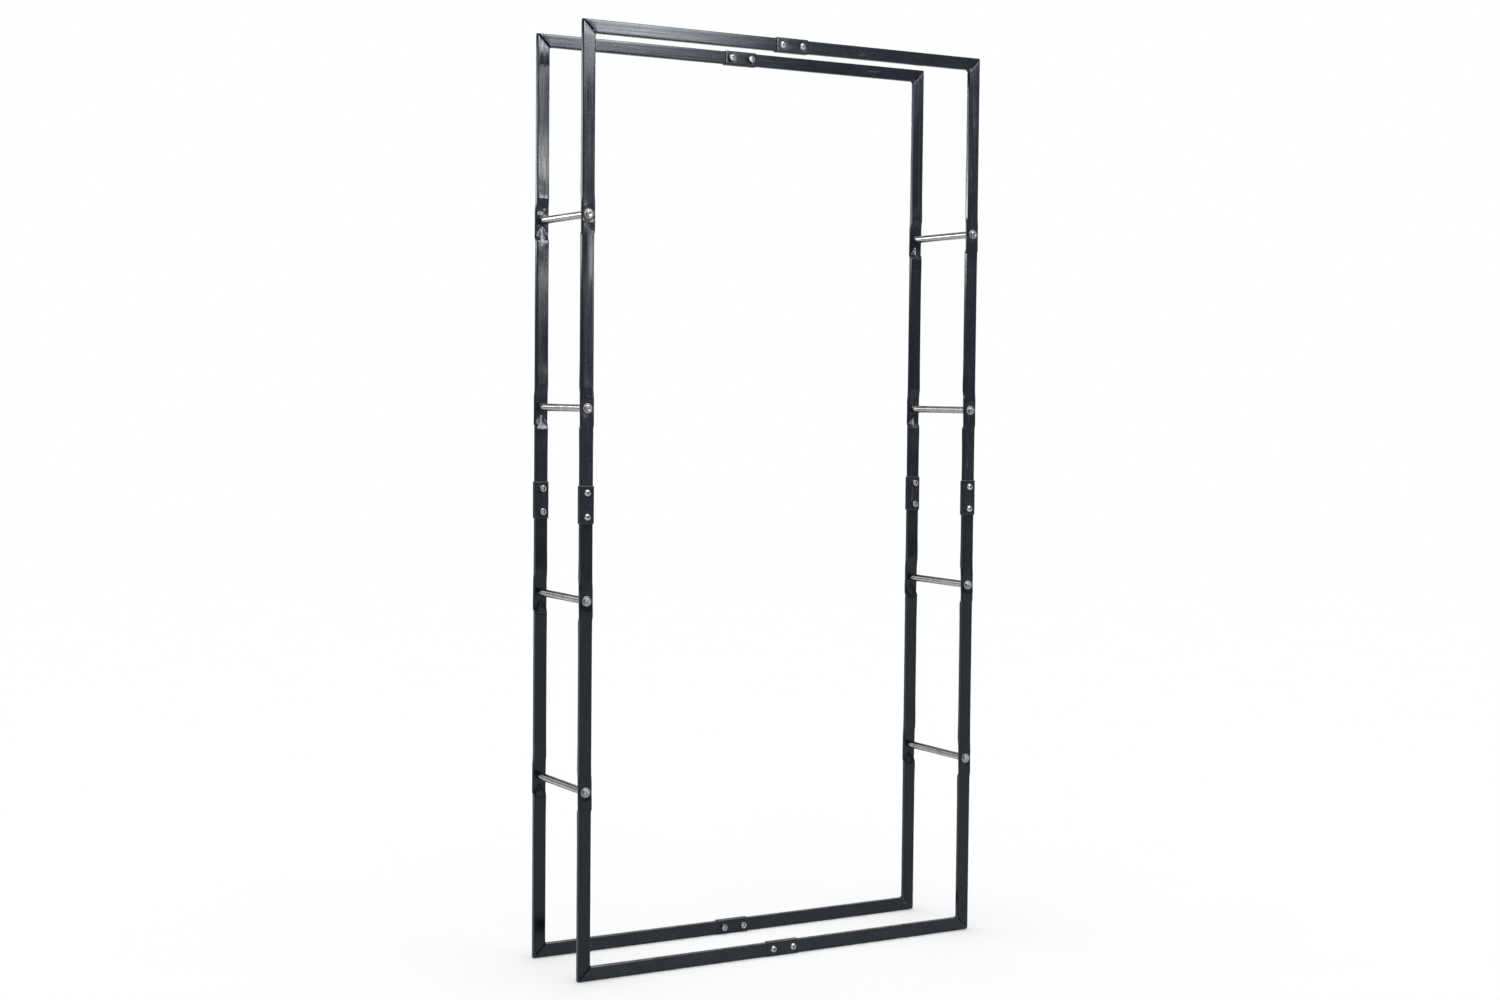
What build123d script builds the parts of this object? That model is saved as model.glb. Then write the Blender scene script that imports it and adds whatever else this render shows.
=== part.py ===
from build123d import *
import math
import os

# A free-standing rack for split logs. Two rectangular frames of mitred tube stand one behind
# the other, and eight round crossbars tie them together, four at each side. Each frame is four
# L-shaped corner pieces, joined at mid-rail and mid-upright by bolted sleeves.
# X runs along the width, Y from the front frame to the back one and Z up, in millimetres.
# The origin is on the floor, under the middle of the rack.

# Overall size
RACK_WIDTH = 1000.0  # over the side sleeves
RACK_DEPTH = 250.0  # over the crossbar bolt heads
RACK_HEIGHT = 2000.0  # over the top and bottom sleeves

# Rectangular frame tube
TUBE_WIDTH = 28.0  # in the plane of the frame
TUBE_DEPTH = 12.0  # along Y
TUBE_WALL = 1.2
TUBE_CORNER = 2.0  # outer radius of the long edges
MITRE_GAP = 0.3  # seam left open between the two tubes of a corner
JOINT_GAP = 1.0  # between two corner pieces, inside their sleeve

# Sleeves over the butt joints
SLEEVE_LENGTH = 80.0
SLEEVE_WALL = 1.8
SLEEVE_CLEARANCE = 0.2
SLEEVE_CORNER = 3.0
SLEEVE_END_CHAMFER = 0.6
SLEEVE_BOLT_SPACING = 50.0

# Crossbars, evenly spaced up the rack
CROSSBARS_PER_SIDE = 4
CROSSBAR_DIAMETER = 16.0
CROSSBAR_WALL = 1.5
CROSSBAR_END_CHAMFER = 0.4
INSERT_LENGTH = 20.0
INSERT_CLEARANCE = 0.05

# Where a crossbar's end is pulled into the upright's thin wall, the wall is crushed
CRUSH_DEPTH = 5.0
CRUSH_SEAT = 24.0  # half the height of the flat floor under the bar's end
CRUSH_REACH = 48.0  # from the bar's axis to where the wall is straight again
CRUSH_OUTER_RADIUS = 24.0  # bend where the straight wall ends
CRUSH_OVERSHOOT = 0.05  # the outer bend runs out this far past the wall's plane

# M8 fasteners
THREAD_DIAMETER = 7.9
THREADED_BORE = 8.0
BOLT_HOLE = 9.0
CROSSBAR_BOLT_LENGTH = 25.0
SLEEVE_BOLT_LENGTH = 20.0  # its tip stays inside the nut
BOLT_TIP_CHAMFER = 0.8
HEX_ACROSS_FLATS = 13.0
HEX_HEAD_HEIGHT = 5.3
HEX_CHAMFER_HEIGHT = 0.6  # that the round chamfer takes off each hexagon corner
HEX_RIM = 0.96  # the chamfer's inner circle, as a share of the hexagon's flats
NUT_HEIGHT = 6.5
WASHER_DIAMETER = 21.0
WASHER_BORE = 8.4
WASHER_THICKNESS = 1.6
WASHER_EDGE = 0.3
ROUND_HEAD_DIAMETER = 15.0
ROUND_HEAD_HEIGHT = 4.4
ROUND_HEAD_RIM = 0.9  # upright rim below the dome
ROUND_HEAD_DOME = 7.0  # radius of the dome in section
ROUND_HEAD_FLAT = 6.4  # diameter of the flat round the socket
SOCKET_ACROSS_FLATS = 5.0
SOCKET_DEPTH = 2.6

# Corner welds
WELD_LEG = 3.5  # fillet in the inner corner
WELD_LENGTH = TUBE_DEPTH - 2 * TUBE_CORNER
EDGE_BEAD_RADIUS = 1.6
EDGE_BEAD_INSET = 1.2  # bead's axis from the outer faces
EDGE_BEAD_CLEARANCE = 0.05

# Worked out from the sizes above
SLEEVE_PROUD = SLEEVE_CLEARANCE + SLEEVE_WALL
FRAME_WIDTH = RACK_WIDTH - 2 * SLEEVE_PROUD
FRAME_HEIGHT = RACK_HEIGHT - 2 * SLEEVE_PROUD
MID_HEIGHT = RACK_HEIGHT / 2
POST_X = (FRAME_WIDTH - TUBE_WIDTH) / 2
RAIL_RISE = (FRAME_HEIGHT - TUBE_WIDTH) / 2
OUTER_FACE = RACK_DEPTH / 2 - HEX_HEAD_HEIGHT - WASHER_THICKNESS
FRAME_Y = OUTER_FACE - TUBE_DEPTH / 2
INNER_FACE = OUTER_FACE - TUBE_DEPTH
SLEEVE_OUTER_FACE = OUTER_FACE + SLEEVE_PROUD
SLEEVE_INNER_FACE = INNER_FACE - SLEEVE_PROUD
CROSSBAR_HALF_LENGTH = INNER_FACE + CRUSH_DEPTH
CROSSBAR_BORE = CROSSBAR_DIAMETER - 2 * CROSSBAR_WALL
CROSSBAR_HEIGHTS = [
    RACK_HEIGHT * step / (CROSSBARS_PER_SIDE + 1) for step in range(1, CROSSBARS_PER_SIDE + 1)
]

SIDES = {"left": -1, "right": 1}
FRAMES = {"front": -1, "back": 1}
RAIL_LEVELS = {"bottom": -1, "top": 1}
UPRIGHT_LEVELS = {"lower": -1, "upper": 1}


def mitre_plane(side, level):
    """The 45 degree plane of one frame corner, facing away from the upright."""
    corner = (side * FRAME_WIDTH / 2, 0, MID_HEIGHT + level * FRAME_HEIGHT / 2)
    return Plane(origin=corner, z_dir=(-side, 0, level))


def cut_edge_groove(side, level):
    """Cut the groove that the weld bead along the corner's outer edge lies in."""
    with BuildSketch(Plane.XZ) as groove:
        with Locations(edge_bead_centre(side, level)):
            Circle(EDGE_BEAD_RADIUS + EDGE_BEAD_CLEARANCE)
    extrude(groove.sketch, amount=RACK_DEPTH / 2, both=True, mode=Mode.SUBTRACT)


def edge_bead_centre(side, level):
    """Where the bead along a corner's outer edge lies in the XZ plane."""
    out = FRAME_WIDTH / 2 - EDGE_BEAD_INSET
    rise = FRAME_HEIGHT / 2 - EDGE_BEAD_INSET
    return (side * out, MID_HEIGHT + level * rise)


def cut_bolt_holes(centres):
    """Drill round holes along Y through the tube at points of the XZ plane."""
    with BuildSketch(Plane.XZ) as holes:
        with Locations(*centres):
            Circle(BOLT_HOLE / 2)
    extrude(holes.sketch, amount=RACK_DEPTH / 2, both=True, mode=Mode.SUBTRACT)


def crush_outline(frame, height, inset):
    """One crushed place in side view: a flat floor, and each way an S of two tangent arcs."""
    run = CRUSH_REACH - CRUSH_SEAT
    drop = CRUSH_DEPTH + CRUSH_OVERSHOOT
    turn = 2 * math.atan(drop / run)
    seat = CRUSH_DEPTH + inset
    inner_radius = run / math.sin(turn) - CRUSH_OUTER_RADIUS + inset
    bend_depth = seat - inner_radius * (1 - math.cos(turn))
    bend_reach = CRUSH_SEAT + inner_radius * math.sin(turn)
    lip = inset - CRUSH_OVERSHOOT

    def at(depth, reach):
        return (frame * (INNER_FACE + depth), height + reach)

    with BuildSketch(Plane.YZ) as outline:
        with BuildLine():
            Line(at(seat, -CRUSH_SEAT), at(seat, CRUSH_SEAT))
            for way in (-1, 1):
                bend = at(bend_depth, way * bend_reach)
                TangentArc(at(seat, way * CRUSH_SEAT), bend, tangent=(0, way))
                TangentArc(at(lip, way * CRUSH_REACH), bend, tangent=(0, -way))
                Line(at(lip, way * CRUSH_REACH), at(-TUBE_DEPTH, way * CRUSH_REACH))
            Line(at(-TUBE_DEPTH, -CRUSH_REACH), at(-TUBE_DEPTH, CRUSH_REACH))
        make_face()
    return outline.sketch


def upright_core(side, frame, level, inset, overrun):
    """A solid upright, shrunk by inset all round and overrun at both ends, crushed at its bars."""
    with BuildPart() as core:
        with BuildSketch(Plane.XY.offset(MID_HEIGHT + level * (JOINT_GAP / 2 - overrun))):
            with Locations((side * POST_X, frame * FRAME_Y)):
                RectangleRounded(TUBE_WIDTH - 2 * inset, TUBE_DEPTH - 2 * inset, TUBE_CORNER - inset)
        extrude(amount=level * (FRAME_HEIGHT / 2 - JOINT_GAP / 2 + 2 * overrun))
        for height in upright_bar_heights(level):
            outline = crush_outline(frame, height, inset)
            extrude(outline, amount=side * RACK_WIDTH / 2, mode=Mode.SUBTRACT)
    return core.part


def upright_bar_heights(level):
    """The crossbar heights on the lower or the upper half of an upright."""
    return [height for height in CROSSBAR_HEIGHTS if level * (height - MID_HEIGHT) > 0]


def rail_height(level):
    """The height of the middle of the bottom or the top rail."""
    return MID_HEIGHT + level * RAIL_RISE


os.makedirs("parts", exist_ok=True)

# Uprights: hollow, mitred at the corner, open inside the sleeve at mid-height
for frame_name, frame in FRAMES.items():
    for side_name, side in SIDES.items():
        for level_name, level in UPRIGHT_LEVELS.items():
            cavity = upright_core(side, frame, level, TUBE_WALL, TUBE_DEPTH)
            holes = [MID_HEIGHT + level * SLEEVE_BOLT_SPACING / 2, *upright_bar_heights(level)]
            with BuildPart() as upright:
                add(upright_core(side, frame, level, 0, 0))
                add(cavity, mode=Mode.SUBTRACT)
                split(bisect_by=mitre_plane(side, level).offset(-MITRE_GAP / 2), keep=Keep.BOTTOM)
                cut_edge_groove(side, level)
                cut_bolt_holes([(side * POST_X, height) for height in holes])
            name = f"{frame_name}_{side_name}_{level_name}_upright"
            upright.part.label = name
            export_step(upright.part, f"parts/{name}.step")

# Rails: the same tube, lying down, without crushed places
for frame_name, frame in FRAMES.items():
    for level_name, level in RAIL_LEVELS.items():
        for side_name, side in SIDES.items():
            with BuildPart() as rail:
                with BuildSketch(Plane.YZ.offset(side * JOINT_GAP / 2)):
                    with Locations((frame * FRAME_Y, rail_height(level))):
                        RectangleRounded(TUBE_DEPTH, TUBE_WIDTH, TUBE_CORNER)
                        RectangleRounded(
                            TUBE_DEPTH - 2 * TUBE_WALL,
                            TUBE_WIDTH - 2 * TUBE_WALL,
                            TUBE_CORNER - TUBE_WALL,
                            mode=Mode.SUBTRACT,
                        )
                extrude(amount=side * (FRAME_WIDTH / 2 - JOINT_GAP / 2))
                split(bisect_by=mitre_plane(side, level).offset(MITRE_GAP / 2), keep=Keep.TOP)
                cut_edge_groove(side, level)
                cut_bolt_holes([(side * SLEEVE_BOLT_SPACING / 2, rail_height(level))])
            name = f"{frame_name}_{level_name}_{side_name}_rail"
            rail.part.label = name
            export_step(rail.part, f"parts/{name}.step")

# Corner welds: a rounded fillet in the inner corner and a bead along the outer edge
for frame_name, frame in FRAMES.items():
    for level_name, level in RAIL_LEVELS.items():
        for side_name, side in SIDES.items():
            inner_x = side * (FRAME_WIDTH / 2 - TUBE_WIDTH)
            inner_z = MID_HEIGHT + level * (FRAME_HEIGHT / 2 - TUBE_WIDTH)
            on_rail = (inner_x - side * WELD_LEG, inner_z)
            on_upright = (inner_x, inner_z - level * WELD_LEG)
            crown = (inner_x - side * WELD_LEG * 0.62, inner_z - level * WELD_LEG * 0.62)
            with BuildPart() as weld:
                with BuildSketch(Plane.XZ.offset(-frame * FRAME_Y)):
                    with BuildLine():
                        Line((inner_x, inner_z), on_rail)
                        ThreePointArc(on_rail, crown, on_upright)
                        Line(on_upright, (inner_x, inner_z))
                    make_face()
                    with Locations(edge_bead_centre(side, level)):
                        Circle(EDGE_BEAD_RADIUS)
                extrude(amount=WELD_LENGTH / 2, both=True)
            name = f"{frame_name}_{level_name}_{side_name}_weld"
            weld.part.label = name
            export_step(weld.part, f"parts/{name}.step")


def sleeve_body(centre, along_x):
    """A short rectangular sleeve with two bolt holes, lying along X or standing along Z."""
    x, _, z = centre
    base = Plane(origin=centre, x_dir=(0, 1, 0), z_dir=(1, 0, 0) if along_x else (0, 0, 1))
    inner = (TUBE_DEPTH + 2 * SLEEVE_CLEARANCE, TUBE_WIDTH + 2 * SLEEVE_CLEARANCE)
    outer = (inner[0] + 2 * SLEEVE_WALL, inner[1] + 2 * SLEEVE_WALL)
    half_spacing = SLEEVE_BOLT_SPACING / 2
    with BuildPart() as body:
        with BuildSketch(base):
            RectangleRounded(*outer, SLEEVE_CORNER)
        extrude(amount=SLEEVE_LENGTH / 2, both=True)
        end_faces = body.faces().sort_by(Axis.X if along_x else Axis.Z)
        chamfer([*end_faces[0].edges(), *end_faces[-1].edges()], SLEEVE_END_CHAMFER)
        with BuildSketch(base):
            RectangleRounded(*inner, TUBE_CORNER + SLEEVE_CLEARANCE)
        extrude(amount=SLEEVE_LENGTH / 2, both=True, mode=Mode.SUBTRACT)
        step_x, step_z = (half_spacing, 0) if along_x else (0, half_spacing)
        cut_bolt_holes([(x - step_x, z - step_z), (x + step_x, z + step_z)])
    return body


# Sleeves, one at the middle of each rail and each upright
SLEEVES = {
    "top": ((0, MID_HEIGHT + RAIL_RISE), True),
    "bottom": ((0, MID_HEIGHT - RAIL_RISE), True),
    "left": ((-POST_X, MID_HEIGHT), False),
    "right": ((POST_X, MID_HEIGHT), False),
}
for frame_name, frame in FRAMES.items():
    for place_name, ((x, z), along_x) in SLEEVES.items():
        sleeve = sleeve_body((x, frame * FRAME_Y, z), along_x)
        name = f"{frame_name}_{place_name}_sleeve"
        sleeve.part.label = name
        export_step(sleeve.part, f"parts/{name}.step")

# Crossbars, numbered from the lowest up, with a threaded insert in each end
for side_name, side in SIDES.items():
    for number, height in enumerate(CROSSBAR_HEIGHTS, 1):
        with BuildPart() as crossbar:
            with BuildSketch(Plane.XZ):
                with Locations((side * POST_X, height)):
                    Circle(CROSSBAR_DIAMETER / 2)
            extrude(amount=CROSSBAR_HALF_LENGTH, both=True)
            chamfer(crossbar.edges().filter_by(GeomType.CIRCLE), CROSSBAR_END_CHAMFER)
            with BuildSketch(Plane.XZ):
                with Locations((side * POST_X, height)):
                    Circle(CROSSBAR_BORE / 2)
            extrude(amount=CROSSBAR_HALF_LENGTH, both=True, mode=Mode.SUBTRACT)
        name = f"{side_name}_crossbar_{number}"
        crossbar.part.label = name
        export_step(crossbar.part, f"parts/{name}.step")

    with BuildPart() as inserts:
        for frame in FRAMES.values():
            with BuildSketch(Plane.XZ.offset(-frame * CROSSBAR_HALF_LENGTH)):
                with Locations(*[(side * POST_X, height) for height in CROSSBAR_HEIGHTS]):
                    Circle(CROSSBAR_BORE / 2 - INSERT_CLEARANCE)
                    Circle(THREADED_BORE / 2, mode=Mode.SUBTRACT)
            extrude(amount=frame * INSERT_LENGTH)
    name = f"{side_name}_crossbar_inserts"
    inserts.part.label = name
    export_step(inserts.part, f"parts/{name}.step")


def hexagon(height, chamfer_base):
    """A hexagonal block on the XY plane, its corners turned down by a round chamfer."""
    corner = HEX_ACROSS_FLATS / math.sqrt(3)
    rim = HEX_ACROSS_FLATS / 2 * HEX_RIM
    base_rim = rim if chamfer_base else corner
    with BuildPart() as block:
        with BuildSketch():
            RegularPolygon(HEX_ACROSS_FLATS / 2, 6, major_radius=False)
        extrude(amount=height)
        with BuildSketch(Plane.XZ):
            with BuildLine():
                Polyline(
                    (0, 0),
                    (base_rim, 0),
                    (corner, HEX_CHAMFER_HEIGHT),
                    (corner, height - HEX_CHAMFER_HEIGHT),
                    (rim, height),
                    (0, height),
                    close=True,
                )
            make_face()
        revolve(axis=Axis.Z, mode=Mode.INTERSECT)
    return block.part


def add_shank(length):
    """Add a bolt's shank, hanging from the XY plane, with a chamfered tip."""
    with BuildSketch() as section:
        Circle(THREAD_DIAMETER / 2)
    extrude(section.sketch, amount=-length)
    chamfer(edges().filter_by(GeomType.CIRCLE).sort_by(Axis.Z)[0], BOLT_TIP_CHAMFER)


# Fasteners, each drawn with its seat on the XY plane and its head or body above it
with BuildPart() as hex_bolt:
    add(hexagon(HEX_HEAD_HEIGHT, chamfer_base=False))
    add_shank(CROSSBAR_BOLT_LENGTH)

with BuildPart() as washer:
    with BuildSketch():
        Circle(WASHER_DIAMETER / 2)
        Circle(WASHER_BORE / 2, mode=Mode.SUBTRACT)
    extrude(amount=WASHER_THICKNESS)
    rim_edges = washer.edges().filter_by(GeomType.CIRCLE).group_by(SortBy.RADIUS)[-1]
    fillet(rim_edges, WASHER_EDGE)

with BuildPart() as round_bolt:
    with BuildSketch(Plane.XZ):
        with BuildLine():
            rim_top = (ROUND_HEAD_DIAMETER / 2, ROUND_HEAD_RIM)
            crown = (ROUND_HEAD_FLAT / 2, ROUND_HEAD_HEIGHT)
            Polyline(crown, (0, ROUND_HEAD_HEIGHT), (0, 0), (ROUND_HEAD_DIAMETER / 2, 0), rim_top)
            RadiusArc(rim_top, crown, -ROUND_HEAD_DOME)
        make_face()
    revolve(axis=Axis.Z)
    with BuildSketch(Plane.XY.offset(ROUND_HEAD_HEIGHT)):
        RegularPolygon(SOCKET_ACROSS_FLATS / 2, 6, major_radius=False)
    extrude(amount=-SOCKET_DEPTH, mode=Mode.SUBTRACT)
    add_shank(SLEEVE_BOLT_LENGTH)

with BuildPart() as nut:
    add(hexagon(NUT_HEIGHT, chamfer_base=True))
    with BuildSketch():
        Circle(THREADED_BORE / 2)
    extrude(amount=NUT_HEIGHT, mode=Mode.SUBTRACT)


def seats(points, depth, facing):
    """Planes at points of the XZ plane, at one depth along Y, facing the back (1) or front (-1)."""
    return [Plane(origin=(x, depth, z), x_dir=(1, 0, 0), z_dir=(0, facing, 0)) for x, z in points]


BAR_POINTS = [(side * POST_X, height) for side in SIDES.values() for height in CROSSBAR_HEIGHTS]
SLEEVE_POINTS = [
    *[(way * SLEEVE_BOLT_SPACING / 2, rail_height(level)) for level in (-1, 1) for way in (-1, 1)],
    *[(side * POST_X, MID_HEIGHT + way * SLEEVE_BOLT_SPACING / 2) for side in (-1, 1) for way in (-1, 1)],
]

# Identical fasteners of one frame share a node
for frame_name, frame in FRAMES.items():
    bar_seat = frame * OUTER_FACE
    groups = {
        "crossbar_washers": (washer, seats(BAR_POINTS, bar_seat, frame)),
        "crossbar_bolts": (hex_bolt, seats(BAR_POINTS, bar_seat + frame * WASHER_THICKNESS, frame)),
        "sleeve_bolts": (round_bolt, seats(SLEEVE_POINTS, frame * SLEEVE_OUTER_FACE, frame)),
        "sleeve_nuts": (nut, seats(SLEEVE_POINTS, frame * SLEEVE_INNER_FACE, -frame)),
    }
    for group_name, (fastener, places) in groups.items():
        with BuildPart() as group:
            with Locations(*places):
                add(fastener.part)
        name = f"{frame_name}_{group_name}"
        group.part.label = name
        export_step(group.part, f"parts/{name}.step")
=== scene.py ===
import math
import random
from itertools import product

import bmesh
import bpy
from mathutils import Matrix, Vector, noise


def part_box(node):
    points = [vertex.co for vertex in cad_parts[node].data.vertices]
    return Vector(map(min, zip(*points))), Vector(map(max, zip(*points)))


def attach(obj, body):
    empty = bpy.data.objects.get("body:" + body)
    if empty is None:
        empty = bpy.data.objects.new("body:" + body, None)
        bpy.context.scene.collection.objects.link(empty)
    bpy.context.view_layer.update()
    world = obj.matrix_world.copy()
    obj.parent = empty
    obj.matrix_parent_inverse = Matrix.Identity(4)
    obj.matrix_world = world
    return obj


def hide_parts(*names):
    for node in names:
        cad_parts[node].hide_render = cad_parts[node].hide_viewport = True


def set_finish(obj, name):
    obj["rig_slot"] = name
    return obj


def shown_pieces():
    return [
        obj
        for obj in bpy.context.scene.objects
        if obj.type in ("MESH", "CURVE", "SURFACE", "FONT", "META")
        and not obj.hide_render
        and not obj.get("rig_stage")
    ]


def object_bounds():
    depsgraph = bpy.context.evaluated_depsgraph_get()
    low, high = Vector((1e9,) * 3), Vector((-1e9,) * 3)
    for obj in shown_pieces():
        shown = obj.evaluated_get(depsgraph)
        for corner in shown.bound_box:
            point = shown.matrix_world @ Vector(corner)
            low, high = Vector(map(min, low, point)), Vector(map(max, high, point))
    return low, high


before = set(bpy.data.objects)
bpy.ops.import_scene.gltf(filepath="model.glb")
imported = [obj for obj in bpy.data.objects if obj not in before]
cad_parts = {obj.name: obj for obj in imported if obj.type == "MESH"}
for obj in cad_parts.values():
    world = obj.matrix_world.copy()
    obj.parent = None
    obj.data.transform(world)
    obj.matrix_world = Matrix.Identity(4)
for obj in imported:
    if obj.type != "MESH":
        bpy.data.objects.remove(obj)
cad_box = [list(corner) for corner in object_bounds()]

# The rack's looks, in metres: every CAD node but the hidden inserts gets a piece of its own,
# built from points, with the dents, seams, ripples and threads that the CAD parts leave out.
MM = 0.001
MID_HEIGHT = (cad_box[0][2] + cad_box[1][2]) / 2
SIDES = {"left": -1, "right": 1}
FRAMES = {"front": -1, "back": 1}
LEVELS = {"bottom": -1, "top": 1}
HALVES = {"lower": -1, "upper": 1}
BARS_PER_SIDE = 4

dice = random.Random(7)


def middle(node):
    low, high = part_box(node)
    return (low + high) / 2


def clamp(value, low=0.0, high=1.0):
    return max(low, min(high, value))


def smooth(value, low, high):
    """An eased step from 0 to 1 as a value goes from low to high."""
    t = clamp((value - low) / (high - low))
    return t * t * (3 - 2 * t)


def wobble(x, y, z):
    """Smooth noise from -1 to 1, the same in every run."""
    return noise.noise(Vector((x, y, z)))


def spaced(start, end, steps):
    return [start + (end - start) * step / steps for step in range(steps + 1)]


# ------------------------------------------------------------------ meshes from rings of points

CLOSING_RUN = 1 * MM  # length in the UV map of the strip that closes a loop, and of a cap


class Shell:
    """Points and faces of one piece, gathered from rings and turned into one mesh at the end."""

    def __init__(self):
        self.points = []
        self.faces = []
        self.uvs = []
        self.recess = []

    def skin(self, rings, loop=False, cap_start=False, cap_end=False, place=None, recess=None):
        """Quads between rings of equally many points; loop joins the last ring to the first.
        Faces from ring number recess on, and the end cap, take the piece's second material."""
        place = place or Matrix.Identity(4)
        count = len(rings[0])
        first = len(self.points)
        for ring in rings:
            self.points.extend(place @ Vector(point) for point in ring)
        run = [0.0]
        for one, two in zip(rings, rings[1:]):
            run.append(run[-1] + (Vector(two[0]) - Vector(one[0])).length)
        around = [0.0]
        for i in range(count):
            step = (Vector(rings[0][(i + 1) % count]) - Vector(rings[0][i])).length
            around.append(around[-1] + step)

        for a in range(len(rings) if loop else len(rings) - 1):
            b = (a + 1) % len(rings)
            far = run[b] if b else run[a] + CLOSING_RUN
            for i in range(count):
                j = (i + 1) % count
                self.faces.append([first + a * count + i, first + a * count + j,
                                   first + b * count + j, first + b * count + i])
                self.recess.append(recess is not None and a >= recess)
                self.uvs.append([(around[i], run[a]), (around[i + 1], run[a]),
                                 (around[i + 1], far), (around[i], far)])
        if cap_start:
            self.cap(first, count, around, False)
        if cap_end:
            self.cap(first + (len(rings) - 1) * count, count, around, recess is not None)

    def cap(self, start, count, around, recessed):
        """A fan of triangles that closes the ring that starts at one point's number."""
        centre = sum((self.points[start + i] for i in range(count)), Vector()) / count
        self.points.append(centre)
        hub = len(self.points) - 1
        for i in range(count):
            self.faces.append([start + i, start + (i + 1) % count, hub])
            self.recess.append(recessed)
            self.uvs.append([(around[i], 0), (around[i + 1], 0), (around[i], CLOSING_RUN)])

    def piece(self, name, node, slot, material, sharp=35, recess_material=None):
        """The finished object, riding on the rack's body in the place of one CAD node."""
        mesh = bpy.data.meshes.new(name)
        mesh.from_pydata([tuple(p) for p in self.points], [], self.faces)
        layer = mesh.uv_layers.new(name="Across")
        for polygon, corners in zip(mesh.polygons, self.uvs):
            for index, corner in zip(polygon.loop_indices, corners):
                layer.data[index].uv = corner
        work = bmesh.new()
        work.from_mesh(mesh)
        bmesh.ops.recalc_face_normals(work, faces=work.faces)
        work.to_mesh(mesh)
        work.free()
        mesh.polygons.foreach_set("use_smooth", [True] * len(mesh.polygons))
        mesh.set_sharp_from_angle(angle=math.radians(sharp))
        mesh.materials.append(material)
        if any(self.recess):
            mesh.materials.append(recess_material)
            mesh.polygons.foreach_set("material_index", [int(inside) for inside in self.recess])
        made = bpy.data.objects.new(name, mesh)
        bpy.context.scene.collection.objects.link(made)
        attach(made, "root")
        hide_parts(node)
        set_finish(made, slot)


def rounded_ring(width, depth, radius, across=8, deep=4, arc=5):
    """Points round a rounded rectangle, u along its width and v along its depth."""
    half_u, half_v = width / 2 - radius, depth / 2 - radius
    corners = [(half_u, half_v, 0), (-half_u, half_v, 90),
               (-half_u, -half_v, 180), (half_u, -half_v, 270)]
    ring = []
    for index, (u, v, turn) in enumerate(corners):
        for step in range(arc + 1):
            angle = math.radians(turn + 90 * step / arc)
            ring.append((u + radius * math.cos(angle), v + radius * math.sin(angle)))
        next_u, next_v, next_turn = corners[(index + 1) % 4]
        angle = math.radians(next_turn)
        end = (next_u + radius * math.cos(angle), next_v + radius * math.sin(angle))
        start = ring[-1]
        parts = across if index % 2 == 0 else deep
        for step in range(1, parts):
            t = step / parts
            ring.append((start[0] + (end[0] - start[0]) * t, start[1] + (end[1] - start[1]) * t))
    return ring


def circle(radius, height, count):
    """Points round a circle at one height."""
    turns = [math.tau * i / count for i in range(count)]
    return [(radius * math.cos(turn), radius * math.sin(turn), height) for turn in turns]


# ------------------------------------------------------------------ materials

ALONG_X, ALONG_Y, ALONG_Z = 0, 1, 2


def grain(fine, coarse, along):
    """A noise scale per metre on each axis: fine across the grain, coarse along it."""
    return [coarse if axis == along else fine for axis in range(3)]


def even(scale):
    return [scale] * 3


def shaded(tone, red, green=None, blue=None):
    """A tone made lighter or darker, by one share or by one for each colour."""
    shares = (red, green or red, blue or red)
    return tuple(part * share for part, share in zip(tone, shares)) + (1,)


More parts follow.
